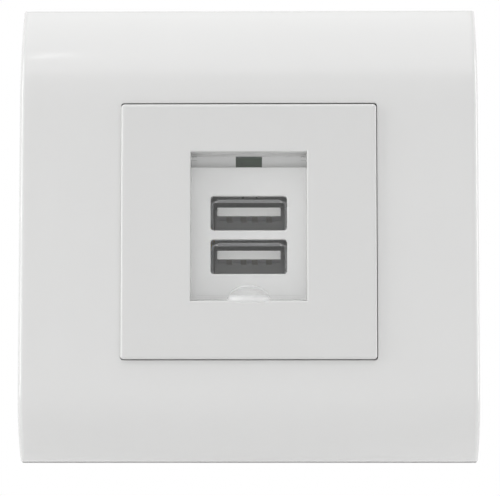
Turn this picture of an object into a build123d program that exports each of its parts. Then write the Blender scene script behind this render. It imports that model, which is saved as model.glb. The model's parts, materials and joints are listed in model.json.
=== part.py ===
from build123d import *
import os
from math import sqrt

# USB wall socket: a square cover plate with a swept front, a mounting frame, and a
# charging module with two USB ports behind a clear, hinged dust cover.
#
# X points right, Z points up, and the wall is the plane Y = 0 with the room at -Y.
# Depths are written as distances forward of the wall, so a distance d lies at Y = -d
# and what sits inside the wall box has a negative distance. Millimetres.

os.makedirs("parts", exist_ok=True)

# Cover plate
PLATE_SIDE = 80.0
PLATE_FRONT = 11.0  # wall to the flat of the front
PLATE_EDGE = 4.0  # wall to the front at the top and bottom edges
PLATE_WALL = 2.0
TOP_SWEEP = 18.0  # height over which the front curves back at the top
BOTTOM_SWEEP = 12.0
SIDE_ROUND = 1.2
END_ROUND = 0.5
OPENING_ROUND = 0.5
OPENING_GAP = 0.2  # module to plate, all round
COLLAR_WALL = 1.5
COLLAR_DEPTH = 3.5
CLIP_WIDTH = 6.0
CLIP_THICKNESS = 1.5
CLIP_HEIGHT = 18.0  # clip centre above or below the middle
CLIP_GAP = 0.3
CLIP_NOSE = 1.0
CLIP_FOOT = 0.6  # wall to the clip's end

# Mounting frame
FRAME_MARGIN = 3.0  # inside of the plate's wall to the frame
FRAME_THICKNESS = 3.2
FRAME_ROUND = 4.0
FRAME_RIM_WIDTH = 1.2
FRAME_RIM_HEIGHT = 1.0
LEDGE_THICKNESS = 0.9  # what the plate's clips hook behind
SCREW_PITCH = 60.0
SCREW_SLOT_WIDTH = 3.8
SCREW_SLOT_LENGTH = 8.0

# Module front
MODULE_SIDE = 44.4
MODULE_PROUD = 0.8  # module face in front of the plate's flat
MODULE_CORNER = 0.6
MODULE_EDGE_ROUND = 0.55
FACE_THICKNESS = 2.2
NECK_STEP = 0.4  # shoulder that rests on the mounting frame
NECK_GAP = 0.2
SKIRT_WALL = 1.7
HOOK_WIDTH = 12.0
HOOK_REACH = 0.9
HOOK_THICKNESS = 1.4
HOOK_RELIEF = 0.8  # slits beside each hook's tongue
HOOK_TONGUE = 8.0
HOOK_GAP = 0.2
SNAP_WIDTH = 7.4
SNAP_LENGTH = 1.6
SNAP_REACH = 0.9
SNAP_FORWARD = 6.0
SNAP_GAP = 0.2

# Window, ports and indicator in the module front
WINDOW_WIDTH = 20.2
WINDOW_TOP = 13.85
WINDOW_BOTTOM = 12.1  # below the middle
WINDOW_DEPTH = 2.6
WINDOW_RIM_ROUND = 0.3
TUB_WALL = 2.0
PANEL_THICKNESS = 1.8
GUTTER_HEIGHT = 2.5
GUTTER_DEPTH = 1.3
GUTTER_FLOOR = 1.2
PORT_WIDTH = 13.3
PORT_HEIGHT = 6.0
PORT_ROUND = 0.55
PORT_RIM_ROUND = 0.2
PORT_PITCH = 7.6
PORT_CENTRE = -0.5
LAMP_WINDOW_WIDTH = 4.6
LAMP_WINDOW_HEIGHT = 1.8
LAMP_SILL = 0.1  # lamp window above the gutter's lower wall

# Dust cover
COVER_GAP = 0.15
COVER_SINK = 0.25  # cover face behind the module face
COVER_THICKNESS = 1.2
FLANGE_THICKNESS = 0.9
HINGE_TOP_GAP = 0.8  # lets the cover swing past level
COVER_TOP_ROUND = 0.25
TRUNNION_RADIUS = 0.45
TRUNNION_LENGTH = 1.2
TRUNNION_GAP = 0.05
COVER_EDGE_ROUND = 0.2
LIP_RADIUS = 4.0  # seen from above
LIP_HEIGHT = 3.2
LIP_PROUD = 2.8
LIP_OVERHANG = 0.35  # lip below the window's lower edge
LIP_CLEARANCE = 0.15
LIP_ROOT = 0.4  # how deep the lip is rooted in the cover

# USB receptacles
SHELL_WIDTH = 13.1
SHELL_HEIGHT = 5.7
SHELL_SHEET = 0.3
SHELL_CORNER = 0.6
SHELL_LENGTH = 13.3
SHELL_DROP = 0.5  # receptacle below the middle of its cut-out
LIP_GAP = 0.2
FLARE_LENGTH = 0.5
FLARE_RISE = 0.5
FLARE_WIDE = 11.0
FLARE_TALL = 3.6
TONGUE_WIDTH = 11.1
TONGUE_THICKNESS = 1.5
TONGUE_TOP_GAP = 0.7  # shell's inner top to the tongue
TONGUE_RECESS = 1.3
PLUG_DEPTH = 3.0
PLUG_GAP = 0.1
SPINE_THICKNESS = 1.6
CONTACT_WIDTH = 1.0
CONTACT_SHEET = 0.25
CONTACT_BOW = 0.4
CONTACT_TIP = 1.6  # tongue's tip to the contact's tip
CONTACT_SPRING = 2.4  # length of the bowed end
CONTACT_OFFSETS = (-3.5, -1.0, 1.0, 3.5)
CONTACT_SLOT_GAP = 0.05
TAIL_STEP = 1.2  # upper tails behind the lower ones

# Rear housing
HOUSING_DEPTH = 27.0  # wall plane to the housing's back
HOUSING_RIM = 7.5  # rim forward of the wall plane
HOUSING_WALL = 1.6
HOUSING_BACK = 1.8
HOUSING_CHAMFER = 4.0
HOUSING_GAP = 0.15
COLLAR_PLATE = 1.2
RAIL_WIDTH = 1.2
RAIL_HEIGHT = 1.0
RAIL_GAP = 0.1

# Main board and what stands on it
BOARD_THICKNESS = 1.6
BOARD_GAP = 0.2
BOARD_FRONT_GAP = 1.7
BOARD_BACK_GAP = 0.4
SEAT_GAP = 0.35  # lower receptacle above the board
PIN_RADIUS = 0.3
PIN_GAP = 0.15
PIN_TAIL = 0.8
EDGE_GAP = 0.4
TRANSFORMER_WIDTH = 14.5
TRANSFORMER_DEPTH = 10.6
TRANSFORMER_HEIGHT = 14.0
BOBBIN_BASE = 2.4
CORE_LEG = 3.4
CORE_DEPTH = 5.0
CORE_PLAY = 0.1
BOBBIN_FLANGE = 0.8
BOBBIN_WALL = 0.4
WINDING_INSET = 0.5  # winding within the flanges' outline
WINDING_ROUND = 1.5
BULK_DIAMETER = 7.6
BULK_HEIGHT = 14.0
OUTPUT_DIAMETER = 6.3
OUTPUT_HEIGHT = 11.0
CAN_ROUND = 0.5
CAN_LEAD_PITCH = 2.5
FILM_WIDTH = 5.0
FILM_LENGTH = 10.0
FILM_HEIGHT = 9.0
FILM_LEAD_PITCH = 7.5
CHOKE_DIAMETER = 6.0
CHOKE_HEIGHT = 7.0
CHOKE_FLANGE = 1.2
CHOKE_WAIST = 1.3  # winding's outside within the flanges' outside
BRIDGE_SIZE = (6.5, 5.0, 2.5)
CHIP_SIZE = (5.0, 4.0, 1.6)
DIODE_SIZE = (4.4, 3.6, 2.3)
UNDER_INSET = 7.0  # board's front edge to the parts under it
UNDER_PITCH = 9.0

# Indicator lamp
LAMP_WIDTH = 5.0
LAMP_HEIGHT = 2.0
LAMP_LENGTH = 7.0
LAMP_GAP = 0.1
LAMP_FLANGE = 0.5
LAMP_FLANGE_THICKNESS = 1.0
LAMP_HOLDER_WALL = 1.0
LAMP_HOLDER_DEPTH = 3.0
LAMP_LEAD = 0.5
LAMP_LEAD_PITCH = 2.54
LAMP_LEAD_STEP = 1.2  # leads drop behind the upper contact tails

# Terminal block
TERMINAL_WIDTH = 10.8
TERMINAL_DEPTH = 8.4
TERMINAL_PITCH = 5.08
TERMINAL_FLOOR_GAP = 0.15
CAGE_WIDTH = 4.2
CAGE_LENGTH = 7.0
CAGE_HEIGHT = 5.6
CAGE_GAP = 0.1
CAGE_INSET = 0.2  # cage's mouth inside the block's back
TERMINAL_LIP = 0.7  # housing's edge over the block's sides
CAGE_TOP_GAP = 1.4  # board to the cage
WIRE_RADIUS = 1.5
WIRE_DEPTH = 1.8  # wire's axis below the cage's top
CLAMP_RADIUS = 1.0
CLAMP_GAP = 0.05
CLAMP_TIP_GAP = 0.3
HEAD_RADIUS = 1.6
HEAD_HEIGHT = 1.2
HEAD_GAP = 0.2
HEAD_SLOT = 0.5
HEAD_SLOT_DEPTH = 0.6
SCREW_ACCESS_RADIUS = 2.0

# Plate and frame, worked out
plate_half = PLATE_SIDE / 2
plate_drop = PLATE_FRONT - PLATE_EDGE
frame_half = plate_half - PLATE_WALL - FRAME_MARGIN
clip_inner = frame_half + CLIP_GAP
clip_ledge = FRAME_THICKNESS - LEDGE_THICKNESS

# Module, worked out
module_half = MODULE_SIDE / 2
opening_side = MODULE_SIDE + 2 * OPENING_GAP
face_front = PLATE_FRONT + MODULE_PROUD
face_back = face_front - FACE_THICKNESS
neck_half = module_half - NECK_STEP
aperture_half = neck_half + NECK_GAP
cavity_half = neck_half - SKIRT_WALL
hook_front = HOOK_GAP + HOOK_THICKNESS
panel_front = face_front - WINDOW_DEPTH
panel_back = panel_front - PANEL_THICKNESS
gutter_floor = panel_front - GUTTER_DEPTH
gutter_back = gutter_floor - GUTTER_FLOOR
gutter_low = WINDOW_TOP - GUTTER_HEIGHT
window_half = WINDOW_WIDTH / 2
port_heights = (PORT_CENTRE + PORT_PITCH / 2, PORT_CENTRE - PORT_PITCH / 2)

# Dust cover and its hinge, worked out
cover_half = window_half - COVER_GAP
cover_front = face_front - COVER_SINK
cover_back = cover_front - COVER_THICKNESS
cover_low = -WINDOW_BOTTOM + COVER_GAP
flange_back = panel_front + COVER_GAP
cover_top = WINDOW_TOP - HINGE_TOP_GAP
hinge_forward = cover_front - COVER_THICKNESS / 2
hinge_height = cover_top - COVER_THICKNESS / 2
lip_low = -WINDOW_BOTTOM - LIP_OVERHANG

# Receptacles, worked out
flare_front = panel_back - LIP_GAP
shell_mouth = flare_front - FLARE_LENGTH
shell_back = shell_mouth - SHELL_LENGTH
tongue_tip = shell_mouth - TONGUE_RECESS
plug_front = shell_back + PLUG_DEPTH
spine_back = shell_back - SPINE_THICKNESS
tail_forward = (spine_back - TAIL_STEP, spine_back)
inner_half_width = SHELL_WIDTH / 2 - SHELL_SHEET
inner_half_height = SHELL_HEIGHT / 2 - SHELL_SHEET
shell_heights = tuple(height - SHELL_DROP for height in port_heights)
tongue_tops = tuple(height + inner_half_height - TONGUE_TOP_GAP for height in shell_heights)

# Housing and board, worked out
housing_half = cavity_half - HOUSING_GAP
inside_half = housing_half - HOUSING_WALL
board_top = shell_heights[1] - SHELL_HEIGHT / 2 - SEAT_GAP
board_bottom = board_top - BOARD_THICKNESS
board_half = inside_half - BOARD_GAP
board_front = shell_mouth - BOARD_FRONT_GAP
board_back = HOUSING_BACK - HOUSING_DEPTH + BOARD_BACK_GAP
rail_inner = inside_half - RAIL_WIDTH

# Places on the board, as x and distance forward
stand_half = rail_inner - EDGE_GAP
back_row = board_back + EDGE_GAP
transformer_x = TRANSFORMER_WIDTH / 2 - stand_half
transformer_forward = back_row + TRANSFORMER_DEPTH / 2
bulk_x = stand_half - BULK_DIAMETER / 2
bulk_forward = back_row + BULK_DIAMETER / 2
bulk_places = [(bulk_x, bulk_forward + i * (BULK_DIAMETER + EDGE_GAP)) for i in range(2)]
aisle_x = (transformer_x + TRANSFORMER_WIDTH / 2 + bulk_x - BULK_DIAMETER / 2) / 2
output_x = OUTPUT_DIAMETER / 2 - stand_half
output_forward = board_front - EDGE_GAP - OUTPUT_DIAMETER / 2
output_places = [(output_x, output_forward - i * (OUTPUT_DIAMETER + EDGE_GAP)) for i in range(2)]
film_x = stand_half - FILM_WIDTH / 2
film_forward = board_front - EDGE_GAP - FILM_LENGTH / 2
bobbin_pins = [(transformer_x + i * TRANSFORMER_WIDTH / 3, transformer_forward + j * TRANSFORMER_DEPTH / 3)
               for i in (-1, 0, 1) for j in (-1, 1)]
can_pins = [(x + i * CAN_LEAD_PITCH / 2, forward)
            for x, forward in bulk_places + output_places for i in (-1, 1)]
film_pins = [(film_x, film_forward + i * FILM_LEAD_PITCH / 2) for i in (-1, 1)]

# Indicator lamp, worked out
lamp_height = gutter_low + LAMP_SILL + LAMP_WINDOW_HEIGHT / 2
lamp_front = gutter_back - LAMP_GAP
lamp_back = lamp_front - LAMP_LENGTH
lead_forward = tail_forward[0] - LAMP_LEAD_STEP
lead_places = [(-LAMP_LEAD_PITCH / 2, lead_forward), (LAMP_LEAD_PITCH / 2, lead_forward)]

# Terminal block, worked out
terminal_back = board_back
terminal_front = terminal_back + TERMINAL_DEPTH
terminal_low = TERMINAL_FLOOR_GAP - inside_half
cage_top = board_bottom - CAGE_TOP_GAP
cage_low = cage_top - CAGE_HEIGHT
cage_forward = terminal_back + CAGE_INSET + CAGE_LENGTH / 2
wire_height = cage_top - WIRE_DEPTH
pole_offsets = (aisle_x - TERMINAL_PITCH / 2, aisle_x + TERMINAL_PITCH / 2)
pole_pins = [(x, cage_forward) for x in pole_offsets]
choke_place = [(aisle_x, cage_forward + PIN_RADIUS + EDGE_GAP + CHOKE_DIAMETER / 2)]


def facing(forward):
    """Plane that faces the room, a distance forward of the wall, with x right and y up."""
    return Plane.XZ.offset(forward)


def span(size, centre=0.0):
    """Low and high end of a size about a centre."""
    return centre - size / 2, centre + size / 2


def block(x, forward, z, mode=Mode.ADD):
    """Box between two values of x, of distance forward of the wall, and of z."""
    with Locations((sum(x) / 2, -sum(forward) / 2, sum(z) / 2)):
        Box(x[1] - x[0], forward[1] - forward[0], z[1] - z[0], mode=mode)


def post(places, low, high, radius, mode=Mode.ADD):
    """Upright cylinder at each (x, forward) place, between two heights."""
    with Locations(*[(x, -forward, (low + high) / 2) for x, forward in places]):
        Cylinder(radius, high - low, mode=mode)


def sweep_fall(length, inset):
    """How far back a sweep has curved where it meets the plate's end, a wall's inset inside it."""
    radius = (length**2 + plate_drop**2) / (2 * plate_drop)
    return radius - sqrt((radius - inset) ** 2 - (length - inset) ** 2)


def plate_outline(inset, back):
    """Side outline of the plate: flat front, and an arc back to the top and bottom edges."""
    front = PLATE_FRONT - inset
    end = plate_half - inset
    flat_top = plate_half - TOP_SWEEP
    flat_low = BOTTOM_SWEEP - plate_half
    top_edge = PLATE_FRONT - sweep_fall(TOP_SWEEP, inset)
    low_edge = PLATE_FRONT - sweep_fall(BOTTOM_SWEEP, inset)
    with BuildSketch(Plane.YZ) as outline:
        with BuildLine():
            Line((-front, flat_low), (-front, flat_top))
            TangentArc((-front, flat_top), (-top_edge, end), tangent=(0, 1))
            Polyline((-top_edge, end), (-back, end), (-back, -end), (-low_edge, -end))
            TangentArc((-front, flat_low), (-low_edge, -end), tangent=(0, -1))
        make_face()
    return outline.sketch


# Cover plate: swept shell with a square opening, a collar round it and four clips
plate_outside = plate_outline(0, 0)
plate_inside = plate_outline(PLATE_WALL, -PLATE_WALL)
with BuildPart() as cover_plate:
    extrude(plate_outside, amount=plate_half, both=True)
    front_edges = cover_plate.edges().filter_by(lambda e: -e.center().Y > PLATE_EDGE - END_ROUND)
    fillet(front_edges.filter_by(lambda e: abs(e.center().X) > plate_half / 2), SIDE_ROUND)
    end_edges = cover_plate.edges().filter_by(Axis.X).filter_by(
        lambda e: abs(e.center().Y + PLATE_EDGE) < END_ROUND < plate_half - END_ROUND < abs(e.center().Z))
    fillet(end_edges, END_ROUND)
    extrude(plate_inside, amount=plate_half - PLATE_WALL, both=True, mode=Mode.SUBTRACT)
    with BuildSketch(facing(PLATE_FRONT - PLATE_WALL - COLLAR_DEPTH)):
        RectangleRounded(opening_side + 2 * COLLAR_WALL, opening_side + 2 * COLLAR_WALL, COLLAR_WALL)
    extrude(amount=COLLAR_DEPTH + PLATE_WALL / 2)
    with BuildSketch(facing(0)):
        RectangleRounded(opening_side, opening_side, OPENING_ROUND)
    extrude(amount=PLATE_FRONT + PLATE_WALL, mode=Mode.SUBTRACT)
    for side in (-1, 1):
        for height in (-CLIP_HEIGHT, CLIP_HEIGHT):
            stem = sorted((side * clip_inner, side * (clip_inner + CLIP_THICKNESS)))
            nose = sorted((side * (clip_inner - CLIP_NOSE), side * (clip_inner + CLIP_THICKNESS)))
            block(stem, (CLIP_FOOT, PLATE_FRONT - PLATE_WALL / 2), span(CLIP_WIDTH, height))
            block(nose, (CLIP_FOOT, clip_ledge - CLIP_GAP), span(CLIP_WIDTH, height))

# Mounting frame: flat square ring with slots for the wall-box screws
with BuildPart() as mounting_frame:
    with BuildSketch(facing(0)):
        RectangleRounded(2 * frame_half, 2 * frame_half, FRAME_ROUND)
    extrude(amount=FRAME_THICKNESS)
    with BuildSketch(facing(FRAME_THICKNESS)):
        RectangleRounded(2 * frame_half, 2 * frame_half, FRAME_ROUND)
        rim_inside = 2 * (frame_half - FRAME_RIM_WIDTH)
        RectangleRounded(rim_inside, rim_inside, FRAME_ROUND - FRAME_RIM_WIDTH, mode=Mode.SUBTRACT)
    extrude(amount=FRAME_RIM_HEIGHT)
    block(span(2 * aperture_half), (0, FRAME_THICKNESS), span(2 * aperture_half), Mode.SUBTRACT)
    with BuildSketch(facing(0)):
        with GridLocations(SCREW_PITCH, 0, 2, 1):
            SlotOverall(SCREW_SLOT_LENGTH, SCREW_SLOT_WIDTH)
        with GridLocations(0, SCREW_PITCH, 1, 2):
            SlotOverall(SCREW_SLOT_LENGTH, SCREW_SLOT_WIDTH, rotation=90)
    extrude(amount=FRAME_THICKNESS, mode=Mode.SUBTRACT)
    for side in (-1, 1):
        hook_pocket = sorted((0, side * (neck_half + HOOK_REACH + HOOK_GAP)))
        block(span(HOOK_WIDTH + 2 * HOOK_RELIEF), (0, hook_front + HOOK_GAP), hook_pocket, Mode.SUBTRACT)
        for height in (-CLIP_HEIGHT, CLIP_HEIGHT):
            notch = sorted((side * (clip_inner - CLIP_NOSE - CLIP_GAP), side * plate_half))
            block(notch, (0, clip_ledge), span(CLIP_WIDTH + 2 * CLIP_GAP, height), Mode.SUBTRACT)

# Module front: square face, skirt and neck, window tub with ports, hinge sockets and hooks
with BuildPart() as module_front:
    with BuildSketch(facing(FRAME_THICKNESS)):
        RectangleRounded(MODULE_SIDE, MODULE_SIDE, MODULE_CORNER)
    extrude(amount=face_front - FRAME_THICKNESS)
    fillet(module_front.faces().sort_by(Axis.Y)[0].edges(), MODULE_EDGE_ROUND)
    block(span(2 * neck_half), (0, FRAME_THICKNESS), span(2 * neck_half))
    block(span(2 * cavity_half), (0, face_back), span(2 * cavity_half), Mode.SUBTRACT)
    tub_half = window_half + TUB_WALL
    block(span(2 * tub_half), (panel_back, face_back), (-WINDOW_BOTTOM - TUB_WALL, WINDOW_TOP + TUB_WALL))
    block(span(2 * tub_half), (gutter_back, face_back), (gutter_low - TUB_WALL, WINDOW_TOP + TUB_WALL))
    holder = (LAMP_WIDTH + 2 * LAMP_HOLDER_WALL, LAMP_HEIGHT + 2 * LAMP_HOLDER_WALL)
    block(span(holder[0]), (gutter_back - LAMP_HOLDER_DEPTH, gutter_back), span(holder[1], lamp_height))
    block(span(WINDOW_WIDTH), (panel_front, face_front), (-WINDOW_BOTTOM, WINDOW_TOP), Mode.SUBTRACT)
    rim = module_front.faces().filter_by(Axis.Y).sort_by(Axis.Y)[0].inner_wires()[0]
    fillet(rim.edges(), WINDOW_RIM_ROUND)
    block(span(WINDOW_WIDTH), (gutter_floor, panel_front), (gutter_low, WINDOW_TOP), Mode.SUBTRACT)
    with BuildSketch(facing(panel_back)):
        with Locations(*[(0, height) for height in port_heights]):
            RectangleRounded(PORT_WIDTH, PORT_HEIGHT, PORT_ROUND)
    extrude(amount=PANEL_THICKNESS, mode=Mode.SUBTRACT)
    panel_rims = module_front.edges().filter_by(
        lambda e: abs(-e.center().Y - panel_front) < PORT_RIM_ROUND
        and abs(e.center().X) <= PORT_WIDTH / 2 and abs(e.center().Z - PORT_CENTRE) < PORT_PITCH)
    fillet(panel_rims, PORT_RIM_ROUND)
    gutter_edge = module_front.edges().filter_by(Axis.X).filter_by(
        lambda e: abs(-e.center().Y - panel_front) + abs(e.center().Z - gutter_low) < PORT_RIM_ROUND)
    fillet(gutter_edge, PORT_RIM_ROUND)
    lamp_window = span(LAMP_WINDOW_HEIGHT, lamp_height)
    block(span(LAMP_WINDOW_WIDTH), (gutter_back, gutter_floor), lamp_window, Mode.SUBTRACT)
    lamp_bore = span(LAMP_HEIGHT + 2 * LAMP_GAP, lamp_height)
    block(span(LAMP_WIDTH + 2 * LAMP_GAP), (gutter_back - LAMP_HOLDER_DEPTH, gutter_back), lamp_bore,
          Mode.SUBTRACT)
    socket_reach = cover_half + TRUNNION_LENGTH + TRUNNION_GAP
    with BuildSketch(Plane.YZ.offset(-socket_reach)):
        with Locations((-hinge_forward, hinge_height)):
            Circle(TRUNNION_RADIUS + TRUNNION_GAP)
    extrude(amount=2 * socket_reach, mode=Mode.SUBTRACT)
    for side in (-1, 1):
        inner = side * cavity_half
        outer = side * module_half
        for edge in (-1, 1):
            slit = span(HOOK_RELIEF, edge * (HOOK_WIDTH + HOOK_RELIEF) / 2)
            block(slit, (0, HOOK_TONGUE), sorted((inner, outer)), Mode.SUBTRACT)
        hook = sorted((inner, side * (neck_half + HOOK_REACH)))
        block(span(HOOK_WIDTH), (HOOK_GAP, hook_front), hook)
        snap_slot = span(SNAP_LENGTH + 2 * SNAP_GAP, SNAP_FORWARD)
        block(sorted((inner, outer)), snap_slot, span(SNAP_WIDTH + 2 * SNAP_GAP), Mode.SUBTRACT)

# Finger lip of the dust cover: part of a dome with a flat underside
with BuildPart() as finger_lip:
    lip_centre = (0, LIP_RADIUS - LIP_PROUD - cover_front, lip_low)
    with BuildSketch(Plane(lip_centre, x_dir=(0, 1, 0), z_dir=(1, 0, 0))):
        with BuildLine():
            EllipticalCenterArc((0, 0), LIP_RADIUS, LIP_HEIGHT, arc_size=90)
            Polyline((0, LIP_HEIGHT), (0, 0), (LIP_RADIUS, 0))
        make_face()
    revolve(axis=Axis(lip_centre, (0, 0, 1)))
    dome_x = span(2 * LIP_RADIUS)
    dome_back = cover_front + LIP_PROUD - 2 * LIP_RADIUS
    dome_z = (lip_low, lip_low + LIP_HEIGHT)
    block(dome_x, (dome_back, cover_front - LIP_ROOT), dome_z, Mode.SUBTRACT)
    block(dome_x, (dome_back, face_front + LIP_CLEARANCE), (lip_low, cover_low), Mode.SUBTRACT)

# Dust cover: clear shallow tray with two trunnions near its upper edge and the finger lip
with BuildPart() as dust_cover:
    block(span(2 * cover_half), (flange_back, cover_front), (cover_low, hinge_height))
    block(span(2 * (cover_half - FLANGE_THICKNESS)), (flange_back, cover_back),
          (cover_low + FLANGE_THICKNESS, hinge_height), Mode.SUBTRACT)
    block(span(2 * cover_half), (cover_back, cover_front), (hinge_height, cover_top))
    fillet(dust_cover.faces().sort_by(Axis.Z)[-1].edges().filter_by(Axis.X), COVER_TOP_ROUND)
    face_rim = dust_cover.faces().filter_by(Axis.Y).sort_by(Axis.Y)[0].edges()
    fillet(face_rim.filter_by(Axis.Z), COVER_EDGE_ROUND)
    trunnion_end = cover_half + TRUNNION_LENGTH
    with BuildSketch(Plane.YZ.offset(-trunnion_end)):
        with Locations((-hinge_forward, hinge_height)):
            Circle(TRUNNION_RADIUS)
    extrude(amount=2 * trunnion_end)
    add(finger_lip.part)


def usb_shell(height):
    """Folded sheet tube about one receptacle, with a flared lip on each of its four walls."""
    with BuildPart() as shell:
        with BuildSketch(facing(shell_back)):
            with Locations((0, height)):
                RectangleRounded(SHELL_WIDTH, SHELL_HEIGHT, SHELL_CORNER)
                RectangleRounded(2 * inner_half_width, 2 * inner_half_height, SHELL_CORNER - SHELL_SHEET,
                                 mode=Mode.SUBTRACT)
        extrude(amount=SHELL_LENGTH)
        for side in (-1, 1):
            with BuildSketch(Plane.YZ.offset(-FLARE_WIDE / 2)):
                with BuildLine():
                    Polyline(*[(-forward, height + side * rise) for forward, rise in
                               flare_section(inner_half_height)], close=True)
                make_face()
            extrude(amount=FLARE_WIDE)
            with BuildSketch(Plane.XY.offset(height - FLARE_TALL / 2)):
                with BuildLine():
                    Polyline(*[(side * rise, -forward) for forward, rise in
                               flare_section(inner_half_width)], close=True)
                make_face()
            extrude(amount=FLARE_TALL)
    return shell


def flare_section(inner):
    """Section of one flared lip with a square end, as (forward, distance from the receptacle's middle)."""
    slant = sqrt(FLARE_LENGTH**2 + FLARE_RISE**2)
    end_back = SHELL_SHEET * FLARE_RISE / slant
    end_rise = SHELL_SHEET * FLARE_LENGTH / slant
    return [(shell_mouth, inner), (shell_mouth, inner + SHELL_SHEET),
            (flare_front - end_back, inner + FLARE_RISE + end_rise), (flare_front, inner + FLARE_RISE)]


def usb_contacts(tongue_top, tail):
    """Four spring contacts: bowed under the tongue, then back through the spine and down to the board."""
    under = tongue_top - TONGUE_THICKNESS
    tip = tongue_tip - CONTACT_TIP
    bow = tip - CONTACT_SPRING / 2
    rest = tip - CONTACT_SPRING
    back = tail - CONTACT_SHEET
    foot = board_bottom - PIN_TAIL
    sheet = CONTACT_SHEET
    upper_line = [(tip, under), (bow, under - CONTACT_BOW), (rest, under), (back, under), (back, foot)]
    lower_line = [(tail, foot), (tail, under - sheet), (rest, under - sheet),
                  (bow, under - CONTACT_BOW - sheet), (tip - sheet, under - sheet)]
    with BuildPart() as contacts:
        for x in CONTACT_OFFSETS:
            with BuildSketch(Plane.YZ.offset(x - CONTACT_WIDTH / 2)):
                with BuildLine():
                    Polyline(*[(-forward, z) for forward, z in upper_line + lower_line], close=True)
                make_face()
            extrude(amount=CONTACT_WIDTH)
    return contacts


usb_shell_upper, usb_shell_lower = [usb_shell(height) for height in shell_heights]
usb_contacts_upper, usb_contacts_lower = [usb_contacts(*pair) for pair in zip(tongue_tops, tail_forward)]

# USB insulator: a spine on the board, a plug in the back of each shell and a tongue in front of it
with BuildPart() as usb_insulator:
    spine_top = shell_heights[0] + inner_half_height
    block(span(2 * inner_half_width), (spine_back, shell_back), (board_top, spine_top))
    for height, top in zip(shell_heights, tongue_tops):
        plug = span(2 * (inner_half_height - PLUG_GAP), height)
        block(span(2 * (inner_half_width - PLUG_GAP)), (shell_back, plug_front), plug)
        block(span(TONGUE_WIDTH), (plug_front, tongue_tip), (top - TONGUE_THICKNESS, top))
        slot_top = top - TONGUE_THICKNESS
        slot_low = slot_top - CONTACT_SHEET - CONTACT_SLOT_GAP
        for x in CONTACT_OFFSETS:
            slot = span(CONTACT_WIDTH + 2 * CONTACT_SLOT_GAP, x)
            block(slot, (spine_back, plug_front), (slot_low, slot_top), Mode.SUBTRACT)

# Rear housing: chamfered tub that plugs into the skirt, with board rails and terminal openings
with BuildPart() as rear_housing:
    with BuildSketch(facing(-HOUSING_DEPTH)):
        outline = Rectangle(2 * housing_half, 2 * housing_half)
        chamfer(outline.vertices(), HOUSING_CHAMFER)
    extrude(amount=HOUSING_DEPTH + HOUSING_RIM)
    with BuildSketch(facing(-COLLAR_PLATE)):
        collar = Rectangle(2 * neck_half, 2 * neck_half)
        chamfer(collar.vertices(), HOUSING_CHAMFER)
    extrude(amount=COLLAR_PLATE)
    with BuildSketch(facing(HOUSING_BACK - HOUSING_DEPTH)):
        hollow = Rectangle(2 * inside_half, 2 * inside_half)
        chamfer(hollow.vertices(), HOUSING_CHAMFER)
    extrude(amount=HOUSING_DEPTH + HOUSING_RIM, mode=Mode.SUBTRACT)
    rail_run = (HOUSING_BACK - HOUSING_DEPTH, board_front)
    for side in (-1, 1):
        rail = sorted((side * rail_inner, side * housing_half))
        block(rail, rail_run, (board_top + RAIL_GAP, board_top + RAIL_GAP + RAIL_HEIGHT))
        block(rail, rail_run, (board_bottom - RAIL_GAP - RAIL_HEIGHT, board_bottom - RAIL_GAP))
        bump = sorted((side * inside_half, side * (housing_half + SNAP_REACH)))
        block(bump, span(SNAP_LENGTH, SNAP_FORWARD), span(SNAP_WIDTH))
    wire_window = span(TERMINAL_WIDTH - 2 * TERMINAL_LIP, aisle_x)
    block(wire_window, (-HOUSING_DEPTH, HOUSING_BACK - HOUSING_DEPTH),
          (cage_low - CAGE_GAP, cage_top + CAGE_GAP), Mode.SUBTRACT)
    post(pole_pins, -housing_half, -inside_half, SCREW_ACCESS_RADIUS, Mode.SUBTRACT)

# Main board, with a hole for every lead
with BuildPart() as main_board:
    block(span(2 * board_half), (board_back, board_front), (board_bottom, board_top))
    pin_places = bobbin_pins + can_pins + film_pins + pole_pins
    post(pin_places, board_bottom, board_top, PIN_RADIUS + PIN_GAP, Mode.SUBTRACT)
    for x, forward in lead_places:
        lead_hole = LAMP_LEAD + 2 * LAMP_GAP
        block(span(lead_hole, x), span(lead_hole, forward), (board_bottom, board_top), Mode.SUBTRACT)
    for tail in tail_forward:
        for x in CONTACT_OFFSETS:
            tail_hole = (tail - CONTACT_SHEET - PIN_GAP, tail + PIN_GAP)
            block(span(CONTACT_WIDTH + 2 * PIN_GAP, x), tail_hole, (board_bottom, board_top), Mode.SUBTRACT)

# Transformer: bobbin with pins, ferrite core closed round it, taped winding on the bobbin's tube
core_forward = span(CORE_DEPTH, transformer_forward)
core_z = (board_top + BOBBIN_BASE, board_top + TRANSFORMER_HEIGHT)
yoke = CORE_LEG / 2
with BuildPart() as transformer_core:
    block(span(TRANSFORMER_WIDTH, transformer_x), core_forward, core_z)
    window_width = TRANSFORMER_WIDTH / 2 - CORE_LEG
    window_offset = (CORE_LEG + window_width) / 2
    for x in (transformer_x - window_offset, transformer_x + window_offset):
        block(span(window_width, x), core_forward, (core_z[0] + yoke, core_z[1] - yoke), Mode.SUBTRACT)

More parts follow.
